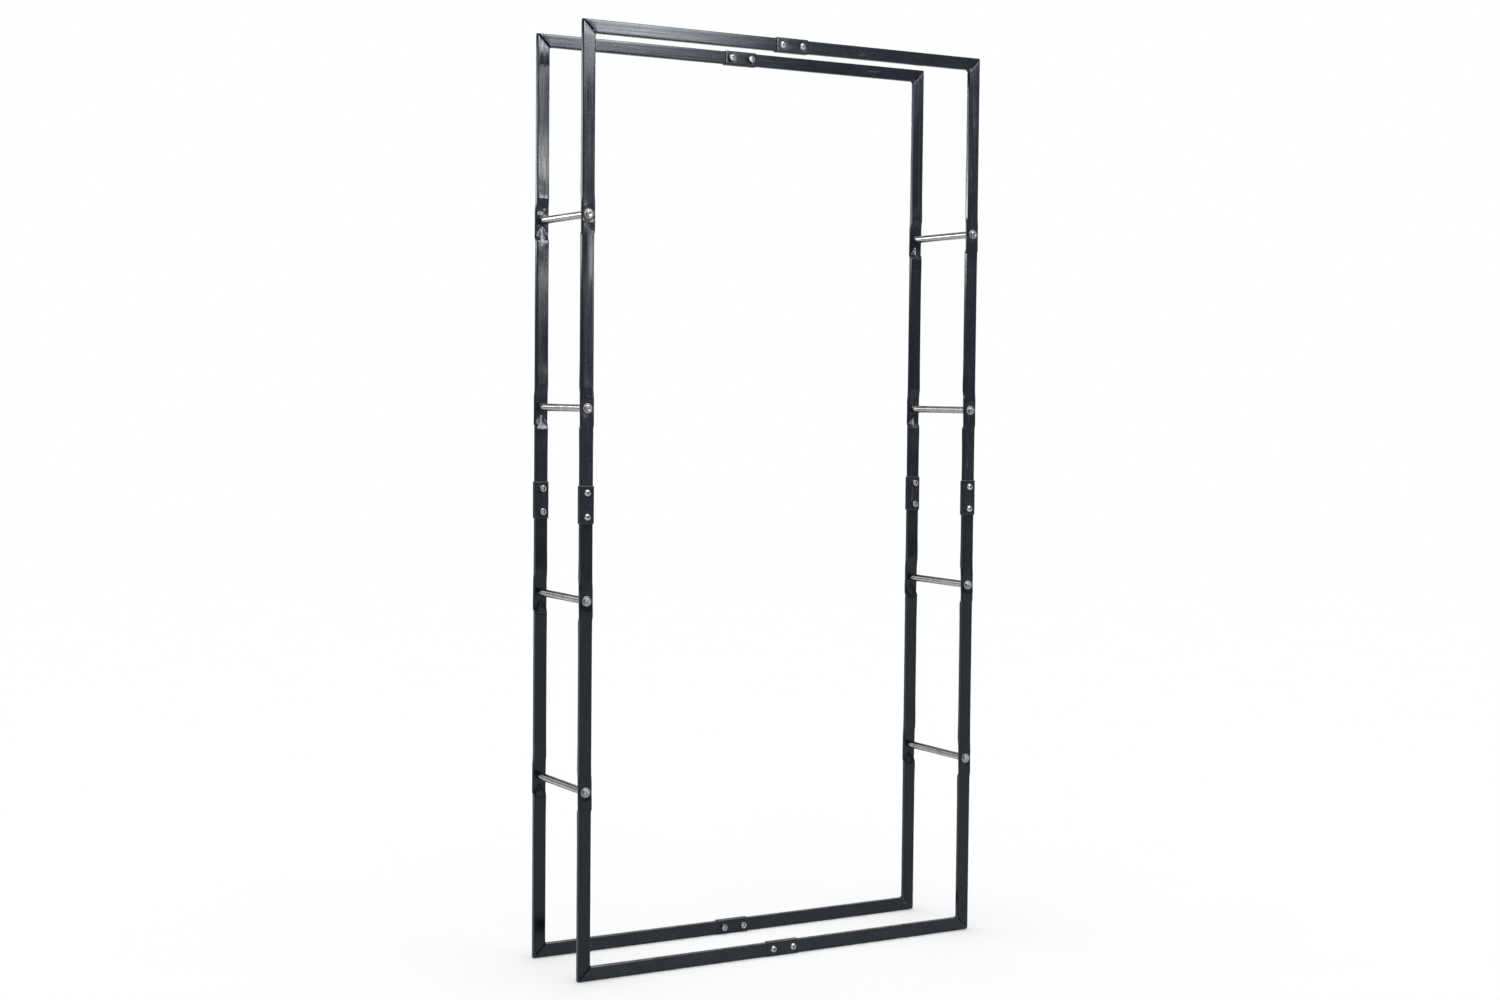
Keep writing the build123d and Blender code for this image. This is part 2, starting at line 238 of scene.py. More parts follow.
class Nodes:
    """A small helper that adds and links the nodes of one material."""

    def __init__(self, name):
        self.material = bpy.data.materials.new(name)
        self.material.use_nodes = True
        self.tree = self.material.node_tree
        self.shader = self.tree.nodes["Principled BSDF"]
        self.coords = self.tree.nodes.new("ShaderNodeTexCoord").outputs["Object"]

    def add(self, kind, inputs=None, **settings):
        made = self.tree.nodes.new(kind)
        for key, value in settings.items():
            setattr(made, key, value)
        for key, value in (inputs or {}).items():
            self.feed(made.inputs[key], value)
        return made

    def feed(self, socket, value):
        if isinstance(value, bpy.types.NodeSocket):
            self.tree.links.new(value, socket)
        else:
            socket.default_value = value

    def surface(self, **settings):
        """Feed the shader's sockets, named with underscores for spaces."""
        for key, value in settings.items():
            self.feed(self.shader.inputs[key.replace("_", " ")], value)

    def noise(self, scale, detail=2.0, rough=0.5, seed=0.0):
        mapped = self.add("ShaderNodeMapping", {"Vector": self.coords, "Scale": scale,
                                                "Location": (seed, seed * 1.7, -seed)})
        texture = self.add("ShaderNodeTexNoise", {"Vector": mapped.outputs["Vector"], "Scale": 1.0,
                                                  "Detail": detail, "Roughness": rough})
        return texture.outputs["Fac"]

    def between(self, value, low, high, out_low=0.0, out_high=1.0):
        made = self.add("ShaderNodeMapRange", {"Value": value, "From Min": low, "From Max": high,
                                               "To Min": out_low, "To Max": out_high})
        return made.outputs["Result"]

    def maths(self, operation, one, two):
        return self.add("ShaderNodeMath", {0: one, 1: two}, operation=operation).outputs[0]

    def times(self, one, two):
        return self.maths("MULTIPLY", one, two)

    def total(self, first, *others):
        for other in others:
            first = self.maths("ADD", first, other)
        return first

    def mix(self, factor, one, two):
        made = self.add("ShaderNodeMix", data_type="RGBA")
        self.feed(made.inputs[0], factor)
        self.feed(made.inputs[6], one)
        self.feed(made.inputs[7], two)
        return made.outputs[2]

    def bump(self, height, distance, normal=None):
        inputs = {"Height": height, "Distance": distance, "Strength": 1.0}
        if normal:
            inputs["Normal"] = normal
        return self.add("ShaderNodeBump", inputs).outputs["Normal"]

    def upward(self):
        """How far a surface faces up, from 0 to 1."""
        geometry = self.add("ShaderNodeNewGeometry")
        split = self.add("ShaderNodeSeparateXYZ", {0: geometry.outputs["Normal"]})
        return self.between(split.outputs["Z"], 0.55, 0.95)

    def across_tangent(self):
        """Blur reflections across the grain: the UV map's first direction runs round the tube."""
        tangent = self.add("ShaderNodeTangent", direction_type="UV_MAP", uv_map="Across")
        self.feed(self.shader.inputs["Tangent"], tangent.outputs["Tangent"])


COAT_DEEP = (0.0024, 0.0036, 0.0060, 1)
COAT_PALE = (0.0040, 0.0055, 0.0082, 1)
COAT_REFLECTION = (0.80, 0.92, 1.0, 1)
RUBBED = (0.034, 0.034, 0.035, 1)
SPECK = (0.045, 0.044, 0.043, 1)
DUST = (0.120, 0.104, 0.088, 1)


def black_coat(name, along, seed, roughness=0.19, streak=1.0):
    """Thin black powder coat over drawn tube: streaks along it, orange peel, rub marks, dust.
    Noise scales are per metre and bump distances in millimetres."""
    n = Nodes(name)
    streaks = n.noise(grain(260.0, 5.0, along), detail=1.5, seed=seed)
    peel = n.noise(even(700.0), detail=1.0, seed=seed + 3)
    cloud = n.noise(even(14.0), detail=3.0, seed=seed + 5)
    rub_noise = n.noise(grain(160.0, 24.0, along), detail=4.0, rough=0.65, seed=seed + 9)
    rubs = n.between(rub_noise, 0.60, 0.74)
    patches = n.between(n.noise(even(9.0), detail=2.0, seed=seed + 11), 0.46, 0.62)
    worn = n.times(rubs, patches)
    specks = n.between(n.noise(even(900.0), detail=0.0, seed=seed + 13), 0.70, 0.80)
    settled = n.between(n.noise(even(60.0), detail=4.0, seed=seed), 0.3, 0.7, 0.25)
    dust = n.times(n.upward(), settled)

    colour = n.mix(n.between(cloud, 0.3, 0.7), COAT_DEEP, COAT_PALE)
    colour = n.mix(n.times(worn, 0.7), colour, RUBBED)
    colour = n.mix(n.times(specks, 0.5), colour, SPECK)
    colour = n.mix(n.times(dust, 0.5), colour, DUST)

    drawn = n.between(streaks, 0.25, 0.75, roughness - 0.05 * streak, roughness + 0.06 * streak)
    clouded = n.between(cloud, 0.3, 0.7, -0.02, 0.04)
    rough = n.total(drawn, clouded, n.times(worn, 0.12), n.times(dust, 0.22))

    normal = n.bump(streaks, 0.12 * MM * streak)
    normal = n.bump(peel, 0.02 * MM, normal)
    normal = n.bump(rubs, 0.03 * MM, normal)
    n.surface(Base_Color=colour, Roughness=rough, Normal=normal, Metallic=0.0, IOR=1.5,
              Specular_IOR_Level=0.32, Specular_Tint=COAT_REFLECTION)
    if along is not None:
        n.surface(Anisotropic=0.75)
        n.across_tangent()
    return n.material


def zinc(name, along, seed, tone, roughness, speckle):
    """Zinc plate: cloudy grey metal with fine draw lines, speckle and a little tarnish."""
    n = Nodes(name)
    lines = n.noise(grain(900.0, 9.0, along), detail=2.0, seed=seed)
    cloud = n.noise(even(70.0), detail=4.0, rough=0.6, seed=seed + 2)
    spangle = n.noise(even(380.0), detail=2.0, rough=0.6, seed=seed + 4)
    stain_noise = n.noise(even(38.0), detail=5.0, rough=0.65, seed=seed + 6)
    stain = n.between(stain_noise, 0.56, 0.72)

    colour = n.mix(n.between(cloud, 0.3, 0.7), shaded(tone, 0.74), shaded(tone, 1.12))
    speckles = n.times(n.between(spangle, 0.35, 0.65), speckle)
    colour = n.mix(speckles, colour, shaded(tone, 0.42))
    colour = n.mix(n.times(stain, 0.45), colour, shaded(tone, 0.62, 0.56, 0.47))

    drawn = n.between(lines, 0.3, 0.7, roughness - 0.05, roughness + 0.06)
    spangled = n.between(spangle, 0.3, 0.7, -0.04, 0.06)
    rough = n.total(drawn, spangled, n.times(stain, 0.12))

    normal = n.bump(lines, 0.01 * MM)
    normal = n.bump(spangle, (0.10 * speckle + 0.02) * MM, normal)
    n.surface(Base_Color=colour, Roughness=rough, Normal=normal, Metallic=1.0)
    return n.material


upright_coat = black_coat("black_coat_upright", ALONG_Z, seed=1.0, streak=1.7)
rail_coat = black_coat("black_coat_rail", ALONG_X, seed=21.0)
sleeve_x_coat = black_coat("black_coat_sleeve_lying", ALONG_X, seed=41.0,
                           roughness=0.24, streak=0.7)
sleeve_z_coat = black_coat("black_coat_sleeve_standing", ALONG_Z, seed=61.0,
                           roughness=0.24, streak=0.7)
weld_coat = black_coat("black_coat_weld", None, seed=81.0, roughness=0.20, streak=0.5)

bar_zinc = zinc("zinc_bar", ALONG_Y, seed=5.0,
                tone=(0.365, 0.362, 0.35), roughness=0.20, speckle=0.08)
bolt_zinc = zinc("zinc_bolt", None, seed=15.0,
                 tone=(0.50, 0.505, 0.515), roughness=0.22, speckle=0.75)
socket_zinc = zinc("zinc_round_bolt", None, seed=25.0,
                   tone=(0.52, 0.525, 0.53), roughness=0.26, speckle=0.20)
washer_zinc = zinc("zinc_washer", None, seed=35.0,
                   tone=(0.44, 0.445, 0.45), roughness=0.34, speckle=0.75)
nut_zinc = zinc("zinc_nut", None, seed=45.0,
                tone=(0.48, 0.485, 0.49), roughness=0.32, speckle=0.28)
# Grime and painted shade: a dark, rough zinc for socket walls and nut bores, darkened to stand for
# the shade that falls inside them
recess_grime_and_shade = zinc("grimy_recess_painted_shade", None, seed=65.0,
                    tone=(0.11, 0.11, 0.11), roughness=0.55, speckle=0.4)
insert_steel = zinc("turned_insert", ALONG_Y, seed=55.0,
                    tone=(0.40, 0.40, 0.40), roughness=0.35, speckle=0.15)


# ------------------------------------------------------------------ uprights and rails

TUBE_WIDTH = 28 * MM
TUBE_DEPTH = 12 * MM
TUBE_WALL = 1.2 * MM
TUBE_CORNER = 2 * MM
MITRE_BACK = 0.21 * MM  # half the seam, measured along the tube
FILLED_SEAM = 0.15  # share of the seam left open at the bottom corners
# The turned-in edge at the seam, in mm: how far back from the seam, and how far turned in
OUTER_LIP = [(0.8, 0.0), (0.35, 0.08), (0.1, 0.28), (0.0, 0.5)]
INNER_LIP = [(0.8, 0.0), (0.0, 0.0)]

CRUSH_DEPTH = 5 * MM
CRUSH_FLOOR = 29 * MM  # from the bar's axis up to where the wall starts to come out again
LOWER_RAMP = 13 * MM  # from the bar's axis down to where the lower ramp starts, in mid-wall
LOWER_RAMP_FLARE = 23 * MM  # how much further down it starts at the wall's edges
CRUSH_REACH = 47 * MM  # from the bar's axis to where the wall is whole again
CRUSH_MEAN = 0.83  # the floor's depth beside the bar's axis, as a share of the crush's depth
CRUSH_LEAN = 0.25  # how much deeper it gets down to the floor's lower end
SIDE_BULGE = 1.7 * MM
CRUMPLE = 0.55 * MM

DENT_REACH = 150 * MM  # past this distance from a bar the tube keeps its shape
DENT_FADE = 58 * MM
WASHER_EDGE = 10.5 * MM  # nearer to the bolt the outer wall stays flat under the washer
LIP_START = 34 * MM
LIP_FADE = 34 * MM

WAVE_ACROSS, WAVE_THROUGH = 0.05 * MM, 0.07 * MM
KINK_DEPTH = 1.5 * MM
TOP_RAIL_TWIST = -0.035  # move in v for each unit of u

post_x = abs(middle("front_left_lower_upright").x)
frame_y = abs(middle("front_left_lower_upright").y)
rail_rise = abs(middle("front_top_left_rail").z - MID_HEIGHT)
bar_heights = [middle(f"left_crossbar_{k}").z for k in range(1, BARS_PER_SIDE + 1)]


def crush_share(rise, u):
    """How far the inner wall is pressed in at a height above a bar, as a share of the crush's
    depth. The floor goes deeper downwards and narrows below the bar, where a long ramp leads
    out of it."""
    edge = abs(u) / (TUBE_WIDTH / 2)
    reach = CRUSH_REACH - 6 * MM * edge ** 2
    if rise > 0:
        floor_end = CRUSH_FLOOR - 4 * MM * edge ** 2
    else:
        floor_end = LOWER_RAMP + LOWER_RAMP_FLARE * edge
    depth = CRUSH_MEAN - CRUSH_LEAN * clamp(rise / floor_end, -1, 1)
    ramp = clamp((abs(rise) - floor_end) / (reach - floor_end))
    return depth * (1 - ramp) ** 1.25 * (1 + 0.25 * ramp)


def crushed(u, offset, level, inner_share, seed):
    """A point's moves at one bar: the inner wall goes in and crumples, the sides bulge out."""
    half_u = TUBE_WIDTH / 2
    share = crush_share(offset * level, u)
    edge = smooth(abs(u), 8.5 * MM, half_u)
    clear_of_bar = smooth(math.hypot(offset, u), 9 * MM, 15 * MM)
    crumple = wobble(u * 150, offset * 75, seed) * clear_of_bar * smooth(share, 0, 0.4)
    inward = CRUSH_DEPTH * share * (1 - 0.16 * edge) + CRUMPLE * crumple * (1 - edge)
    belly = math.sin(math.pi * clamp(inner_share * 0.92 + 0.02) ** 0.8)
    sideways = math.copysign(smooth(abs(u), 7 * MM, half_u), u)
    return SIDE_BULGE * smooth(share, 0, 0.85) * belly * sideways, inward * inner_share


def folded(u, offset, outer_share, fold_seed, crease_seed, fold_shift):
    """A point's move in v round one bar: dents in the outer wall, and a lip past the crush."""
    fold = wobble(u * 60 + fold_shift, offset * 30, fold_seed)
    crease = wobble(u * 130, offset * 20, crease_seed)
    clear_of_washer = smooth(math.hypot(offset, u), WASHER_EDGE, 22 * MM)
    dent = clear_of_washer * math.exp(-((offset / DENT_FADE) ** 2)) * outer_share
    past = abs(offset) - CRUSH_REACH
    lip = smooth(abs(offset), LIP_START, CRUSH_REACH) * math.exp(-((past / LIP_FADE) ** 2))
    return (dent * (0.85 + fold + 0.5 * crease)
            - lip * (1 - outer_share) * (1.3 + 0.6 * fold)) * MM


def kinked(u, run, kink, outer_share, seed):
    """A point's move in v where one half of the outer wall is pressed in below a bolt."""
    below = kink - run
    window = smooth(below, 22 * MM, 34 * MM) * (1 - smooth(below, 105 * MM, 165 * MM))
    roll = clamp((1.5 * MM - u) / (14 * MM)) ** 1.2
    uneven = 1 + 0.12 * wobble(u * 300, run * 9, seed)
    return -KINK_DEPTH * window * roll * outer_share * uneven


def dented(u, v, run, bars, level, seed, kink, twist):
    """A tube point moved by crushes, the dents round them, slight waves, a kink and a twist."""
    outer_share = clamp((v + TUBE_DEPTH / 2) / TUBE_DEPTH)
    inner_share = 1 - outer_share
    move_u = WAVE_ACROSS * wobble(run * 17, v * 40, seed) * (u / (TUBE_WIDTH / 2))
    move_v = WAVE_THROUGH * wobble(run * 19, u * 60, seed + 9) * (1 if v > 0 else -1)
    for number, bar in enumerate(bars):
        offset = run - bar
        if abs(offset) > DENT_REACH:
            continue
        bulge, inward = crushed(u, offset, level, inner_share, seed + 17 + number)
        move_u += bulge
        move_v += inward
        move_v += folded(u, offset, outer_share, seed * 3 + number, seed * 5 + 4 + number,
                         3.1 * number)
    if kink:
        move_v += kinked(u, run, kink, outer_share, seed)
    move_v += twist * u * smooth(run, 45 * MM, 130 * MM)
    return u + move_u, v + move_v


def tube_stations(length, bars):
    """Distances from the joint where rings go: close together at the crushed places."""
    runs, run = [], 0.5 * MM
    while run < length - TUBE_WIDTH - 3 * MM:
        runs.append(run)
        near = min((abs(run - bar) for bar in bars), default=math.inf)
        run += 2.2 * MM if near < 60 * MM else 5 * MM if near < DENT_REACH else 14 * MM
    runs.append(length - TUBE_WIDTH - 1.5 * MM)
    return runs


def tube(node, bars, level, to_world, material, kink=None, twist=0.0):
    """A hollow rounded tube from its butt joint to its mitre, where its edge turns in at the
    seam. Its length runs from mid-rack to the far end of its CAD node."""
    low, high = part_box(node)
    lying = high.x - low.x > high.z - low.z
    if lying:
        length = max(abs(low.x), abs(high.x))
    else:
        length = max(abs(low.z - MID_HEIGHT), abs(high.z - MID_HEIGHT))
    seed = dice.uniform(0, 50)
    seam = 1.0 if level > 0 else FILLED_SEAM
    layers = []
    for inset, lips in ((0.0, OUTER_LIP), (TUBE_WALL, INNER_LIP)):
        ring = rounded_ring(TUBE_WIDTH - 2 * inset, TUBE_DEPTH - 2 * inset, TUBE_CORNER - inset)
        rings = [[to_world(*dented(u, v, run, bars, level, seed, kink, twist), run)
                  for u, v in ring] for run in tube_stations(length, bars)]
        for back, tuck in lips:
            shrink_u = 1 - 2 * seam * tuck * MM / TUBE_WIDTH
            shrink_v = 1 - 2 * seam * tuck * MM / TUBE_DEPTH
            lip = []
            for u, v in ring:
                run = length - (TUBE_WIDTH / 2 - u) - seam * MITRE_BACK - back * MM
                lip.append(to_world(u * shrink_u, v * shrink_v, run))
            rings.append(lip)
        layers.append(rings)
    shell = Shell()
    shell.skin(layers[0] + layers[1][::-1], loop=True)
    shell.piece(f"{node}_tube", node, "frame_tube", material)


def upright(frame_name, side_name, half_name):
    """Half an upright, u outwards and v away from mid-rack; the front left one is kinked."""
    way, side, level = FRAMES[frame_name], SIDES[side_name], HALVES[half_name]
    node = f"{frame_name}_{side_name}_{half_name}_upright"
    bars = [abs(h - MID_HEIGHT) for h in bar_heights if (h - MID_HEIGHT) * level > 0]

    def stand(u, v, run):
        return (side * (post_x + u), way * (frame_y + v), MID_HEIGHT + level * run)

    kink = bars[-1] if node == "front_left_upper_upright" else None
    tube(node, bars, level, stand, upright_coat, kink=kink)


def rail(frame_name, level_name, side_name):
    """Half a rail, u away from mid-height and v away from mid-rack; one is slightly twisted."""
    way, level, side = FRAMES[frame_name], LEVELS[level_name], SIDES[side_name]
    node = f"{frame_name}_{level_name}_{side_name}_rail"

    def lie(u, v, run):
        return (side * run, way * (frame_y + v), MID_HEIGHT + level * (rail_rise + u))

    twist = TOP_RAIL_TWIST if node == "back_top_left_rail" else 0.0
    tube(node, [], level, lie, rail_coat, twist=twist)


for names in product(FRAMES, SIDES, HALVES):
    upright(*names)
for names in product(FRAMES, LEVELS, SIDES):
    rail(*names)


# ------------------------------------------------------------------ sleeves

SLEEVE_WALL = 1.8 * MM
BOLT_FROM_JOINT = 25 * MM
# The rolled end, in mm: how far back from the end, and how far turned in
SLEEVE_END = [(0.0, 1.5), (0.15, 1.3), (0.5, 0.95), (1.35, 0.1), (1.6, 0.02), (1.9, 0.0)]


def sleeve(node, material):
    """A short sleeve with rounded-off ends, its wide faces a touch proud between the bolts."""
    low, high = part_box(node)
    size, centre = high - low, (low + high) / 2
    lying = size.x > size.z
    length, width = (size.x, size.z) if lying else (size.z, size.x)
    depth = size.y
    seed = dice.uniform(0, 50)

    def to_world(u, v, run):
        place = Vector((run, v, u)) if lying else Vector((u, v, run))
        return centre + place

    runs = [(-length / 2 + back * MM, tuck) for back, tuck in SLEEVE_END]
    runs += [(run, 0.0) for run in spaced(-length / 2 + 4 * MM, length / 2 - 4 * MM, 24)]
    runs += [(length / 2 - back * MM, tuck) for back, tuck in reversed(SLEEVE_END)]
    outer = []
    for run, tuck in runs:
        ring = []
        corner = (3 - tuck * 0.6) * MM
        for u, v in rounded_ring(width - 2 * tuck * MM, depth - 2 * tuck * MM, corner):
            near = min(math.hypot(run - spot, u) for spot in (-BOLT_FROM_JOINT, BOLT_FROM_JOINT))
            face = smooth(width / 2 - abs(u), 0, 5 * MM)
            face *= smooth(length / 2 - abs(run), 0, 6 * MM)
            swell = 0.16 * MM + 0.10 * MM * wobble(run * 40, u * 60, seed + v * 300)
            push = face * smooth(near, 8 * MM, 14 * MM) * swell * math.copysign(1, v)
            ring.append(to_world(u, v + push, run))
        outer.append(ring)
    bore = rounded_ring(width - 2 * SLEEVE_WALL, depth - 2 * SLEEVE_WALL, 2.2 * MM)
    inner = [[to_world(u, v, run) for u, v in bore] for run in (length / 2, 0.0, -length / 2)]
    shell = Shell()
    shell.skin(outer + inner, loop=True)
    shell.piece(f"{node}_shell", node, "sleeve", material)


for frame_name in FRAMES:
    for place_name in ("top", "bottom"):
        sleeve(f"{frame_name}_{place_name}_sleeve", sleeve_x_coat)
    for place_name in ("left", "right"):
        sleeve(f"{frame_name}_{place_name}_sleeve", sleeve_z_coat)


# ------------------------------------------------------------------ crossbars

BAR_AROUND = 72
BAR_WALL = 1.5 * MM
INSERT_END = 21 * MM  # from the bar's end to just past the insert
# The broken edge, in mm: how far back from the end, and how much smaller the radius
BAR_END = [(0.0, 0.4), (0.12, 0.16), (0.4, 0.0)]


def crossbar(node):
    """A round tube with broken edges at both ends."""
    low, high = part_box(node)
    radius, half = (high.x - low.x) / 2, (high.y - low.y) / 2
    stations = [(-half + back * MM, tuck) for back, tuck in BAR_END]
    stations += [(y, 0.0) for y in spaced(-half + 2 * MM, half - 2 * MM, 12)]
    stations += [(half - back * MM, tuck) for back, tuck in reversed(BAR_END)]
    rings = [circle(radius - tuck * MM, y, BAR_AROUND) for y, tuck in stations]
    rings += [circle(radius - BAR_WALL, y, BAR_AROUND)
              for y in (half, half - INSERT_END, -half + INSERT_END, -half)]
    lie = Matrix.Rotation(-math.pi / 2, 4, "X")
    shell = Shell()
    shell.skin(rings, loop=True, place=Matrix.Translation((low + high) / 2) @ lie)
    shell.piece(f"{node}_tube", node, "crossbar", bar_zinc)


for side_name in SIDES:
    for number in range(1, BARS_PER_SIDE + 1):
        crossbar(f"{side_name}_crossbar_{number}")
    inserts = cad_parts[f"{side_name}_crossbar_inserts"].data.materials
    inserts.clear()
    inserts.append(insert_steel)


# ------------------------------------------------------------------ fasteners

HEX_FLATS = 13 * MM
HEX_HEAD_HEIGHT = 5.3  # mm
ROUND_HEAD_RADIUS = 7.5  # mm
SOCKET_FLATS = 5 * MM
NUT_HEIGHT = 6.5 * MM
SHANK_RADIUS = 3.92 * MM
THREAD_PITCH = 1.25 * MM
CROSSBAR_BOLT_LENGTH = 25 * MM
SLEEVE_BOLT_LENGTH = 20 * MM
HEAD_AROUND = 72
SHANK_AROUND = 48


def stack(levels, around):
    """Circles from radii and heights in mm."""
    return [circle(radius * MM, height * MM, around) for radius, height in levels]


def hex_ring(height, flats=HEX_FLATS, chamfer=0.0):
    """A hexagon's outline with eased corners, lowered where a round chamfer crosses it."""
    corner, rim = flats / math.sqrt(3), flats / 2 * 0.96
    ring = []
    for i in range(HEAD_AROUND):
        angle = math.tau * i / HEAD_AROUND
        to_flat = flats / 2 / math.cos(angle % (math.pi / 3) - math.pi / 6)
        radius = min(to_flat, corner - 0.22 * MM)
        drop = chamfer * clamp((radius - rim) / (corner - rim))
        ring.append((radius * math.cos(angle), radius * math.sin(angle), height - drop))
    return ring


def thread_ring(depth, height, around, profile):
    """A ring whose radius follows a thread's profile, one turn of the phase round the ring."""
    ring = []
    for i in range(around):
        phase = (depth / THREAD_PITCH + i / around) % 1.0
        angle = math.tau * i / around
        radius = profile(phase) * MM
        ring.append((radius * math.cos(angle), radius * math.sin(angle), height))
    return ring


def bolt_thread(phase):
    """A bolt's radius in mm: from the root up to a crest near the shank's radius."""
    return 3.35 + 0.57 * clamp(1.25 - abs(phase - 0.5) * 3.0)


def nut_thread(phase):
    """A nut's bore radius in mm, a little wider than the bolt that it holds."""
    return 3.98 + 0.22 * clamp(abs(phase - 0.5) * 3 - 0.3)


def shank(shell, place, threaded_from, tip):
    """A bolt's shank below its seat, with a helical thread from one depth down to its tip."""
    rings = [circle(SHANK_RADIUS, -0.05 * MM, SHANK_AROUND),
             circle(SHANK_RADIUS, -threaded_from + 0.4 * MM, SHANK_AROUND)]
    steps = int((tip - threaded_from) / (THREAD_PITCH / 6)) - 1
    for depth in spaced(threaded_from, tip - 0.9 * MM, steps):
        rings.append(thread_ring(depth, -depth, SHANK_AROUND, bolt_thread))
    rings += [circle(3.3 * MM, -tip + 0.5 * MM, SHANK_AROUND),
              circle(2.9 * MM, -tip, SHANK_AROUND)]
    shell.skin(rings, cap_start=True, cap_end=True, place=place)


def hex_bolt(shell, place):
    """A chamfered hexagonal head with a shallow dished top."""
    top = HEX_HEAD_HEIGHT
    rings = stack([(5.9, 0.0), (6.15, 0.25)], HEAD_AROUND)
    rings += [hex_ring(0.35 * MM), hex_ring(top * MM, chamfer=0.75 * MM),
              hex_ring(top * MM, flats=HEX_FLATS * 0.985, chamfer=0.62 * MM)]
    rings += stack([(6.1, top - 0.02), (5.7, top), (4.9, top - 0.02), (4.5, top - 0.18)],
                   HEAD_AROUND)
    shell.skin(rings, cap_start=True, cap_end=True, place=place)
    shank(shell, place, threaded_from=20 * MM, tip=CROSSBAR_BOLT_LENGTH)


def round_bolt(shell, place):
    """A domed head with a hexagonal socket; the socket's sides and floor take a dark material,
    grime and painted shade.
    """
    rim, rim_top, dome = ROUND_HEAD_RADIUS, 0.9, 3.5
    levels = [(rim - 0.2, 0.0), (rim, 0.2), (rim, rim_top)]
    for t in spaced(0.0, 1.0, 9)[1:]:
        levels.append((rim - 4.2 * t ** 1.25, rim_top + dome * math.sin(math.pi / 2 * t)))
    rings = stack(levels, HEAD_AROUND)
    rings += [hex_ring(4.38 * MM, flats=SOCKET_FLATS + 0.6 * MM),
              hex_ring(4.1 * MM, flats=SOCKET_FLATS), hex_ring(1.8 * MM, flats=SOCKET_FLATS),
              circle(1.2 * MM, 1.3 * MM, HEAD_AROUND)]
    shell.skin(rings, cap_start=True, cap_end=True, place=place, recess=len(rings) - 3)
    shank(shell, place, threaded_from=8 * MM, tip=SLEEVE_BOLT_LENGTH)


def nut(shell, place):
    """A hexagonal nut chamfered on both faces; its bore, where the bolt's tip lies, is painted dark
    for grime and the shade inside it.
    """
    height = NUT_HEIGHT
    low_hex = [(x, y, -z) for x, y, z in hex_ring(0.0, chamfer=0.7 * MM)]
    rings = [circle(4.4 * MM, 0.0, HEAD_AROUND), circle(6.1 * MM, 0.0, HEAD_AROUND), low_hex,
             hex_ring(height, chamfer=0.75 * MM), circle(6.05 * MM, height, HEAD_AROUND),
             circle(4.6 * MM, height, HEAD_AROUND)]
    bore_start = len(rings)
    rings.append(circle(4.3 * MM, height - 0.3 * MM, HEAD_AROUND))
    for depth in spaced(height - 0.45 * MM, 0.45 * MM, 24):
        rings.append(thread_ring(depth, depth, HEAD_AROUND, nut_thread))
    shell.skin(rings, loop=True, place=place, recess=bore_start)


def washer(shell, place):
    """A punched washer: a rolled edge on one face, a sharper one on the other."""
    profile = [(4.2, 0.15), (4.35, 0.0), (10.2, 0.0), (10.42, 0.08), (10.5, 0.3), (10.5, 1.15),
               (10.4, 1.42), (10.2, 1.54), (9.8, 1.6), (4.6, 1.6), (4.3, 1.5), (4.2, 1.3)]
    shell.skin(stack(profile, HEAD_AROUND), loop=True, place=place)


def seat(x, z, y, facing):
    """A fastener's place: its seat at a point, its head facing the back (1) or the front (-1)."""
    turn = Matrix.Rotation(dice.uniform(0, math.tau), 4, "Z")
    face = Matrix.Rotation(-facing * math.pi / 2, 4, "X")
    return Matrix.Translation((x, y, z)) @ face @ turn


bar_points = [(side * post_x, height) for side in SIDES.values() for height in bar_heights]
sleeve_points = [(way * BOLT_FROM_JOINT, MID_HEIGHT + level * rail_rise)
                 for level in (-1, 1) for way in (-1, 1)]
sleeve_points += [(side * post_x, MID_HEIGHT + way * BOLT_FROM_JOINT)
                  for side in (-1, 1) for way in (-1, 1)]
for frame_name, outward in FRAMES.items():
    # Node's kind, maker, how far it reaches below its seat, places, facing, slot and material
    groups = [
        ("crossbar_washers", washer, 0, bar_points, outward, "washer", washer_zinc),
        ("crossbar_bolts", hex_bolt, CROSSBAR_BOLT_LENGTH, bar_points, outward,
         "crossbar_bolt", bolt_zinc),
        ("sleeve_bolts", round_bolt, SLEEVE_BOLT_LENGTH, sleeve_points, outward,
         "sleeve_bolt", socket_zinc),
        ("sleeve_nuts", nut, 0, sleeve_points, -outward, "nut", nut_zinc),
    ]
    for kind, build, below_seat, points, facing, slot, material in groups:
        node = f"{frame_name}_{kind}"
        low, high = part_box(node)
        seat_y = (low.y if facing > 0 else high.y) + facing * below_seat
        shell = Shell()
        for x, z in points:
            build(shell, seat(x, z, seat_y, facing))
        # the second material paints grime and shade into sockets and nut bores
        shell.piece(f"{node}_set", node, slot, material, sharp=29, recess_material=recess_grime_and_shade)


# ------------------------------------------------------------------ corner welds

RIPPLE_PITCH = 1.35 * MM
FILLET_HALF, FILLET_LEG = 4.6 * MM, 3.5 * MM
FILLET_ROOT = 0.5 * MM  # how far the fillet's back lies inside the corner
BEAD_HALF, BEAD_RADIUS, BEAD_INSET = 4.4 * MM, 1.55 * MM, 1.2 * MM
SEAM_RUN_SHORTEST, SEAM_RUN_LONGEST = 7, 11  # mm
SEAM_RUN_HALF_WIDTH, SEAM_RUN_HEIGHT, SEAM_RUN_SINK = 1.25 * MM, 0.55 * MM, 0.08 * MM


def ripple(along, seed):
    wave = math.sin(2 * math.pi * along / RIPPLE_PITCH + seed)
    return 1 + 0.10 * wave + 0.06 * wobble(along * 900, seed, 0)


def swelling(along, half, thinnest):
    """A weld's thickness along its length: full in the middle, rounded off at both ends."""
    return math.sqrt(max(thinnest, 1 - (along / half) ** 4))


